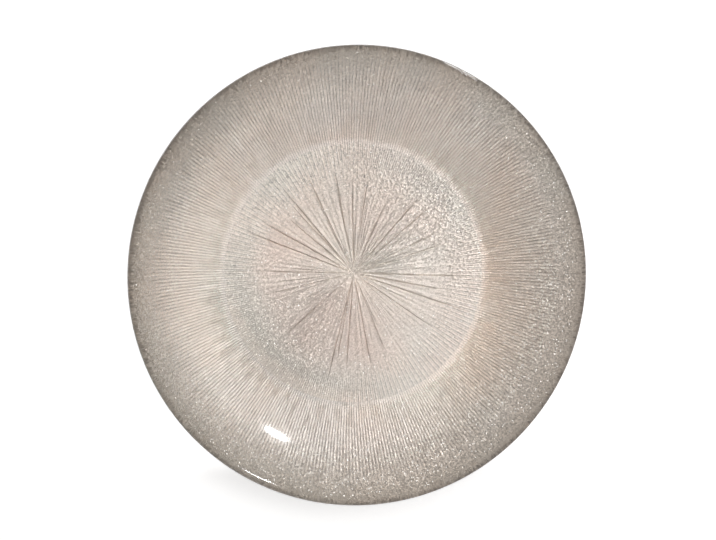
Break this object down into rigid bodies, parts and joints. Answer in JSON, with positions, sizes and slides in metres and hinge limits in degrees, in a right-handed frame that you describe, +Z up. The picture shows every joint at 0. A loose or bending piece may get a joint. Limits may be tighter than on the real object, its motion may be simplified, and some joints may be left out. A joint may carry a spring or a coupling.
{
  "type": "glass dessert plate",
  "caption": "Round coupe-rimmed dessert plate of clear pressed glass with a ribbed, sunburst underside and a champagne glitter lacquer on its back.",
  "frame": {"origin": "middle of the circle that the foot ring stands on, at table height", "axes": "+Z up along the plate's axis, out of its face; X and Y in the table"},
  "size_m": [0.21, 0.21, 0.024],
  "materials": {
    "clear_glass": "clear pressed glass, fire-polished face and lip",
    "champagne_glitter": "champagne lacquer filled with fine silver and rose glitter",
    "beige_ground": "opaque beige ground lacquer",
    "clear_seal": "clear sealing varnish over the ground lacquer"
  },
  "bodies": {
    "root": {"glass_plate": "clear_glass", "rim_glitter_coat": "champagne_glitter", "well_glitter_coat": "champagne_glitter", "rim_ground_coat": "beige_ground", "well_ground_coat": "beige_ground", "rim_seal_coat": "clear_seal", "well_seal_coat": "clear_seal"}
  },
  "joints": []
}
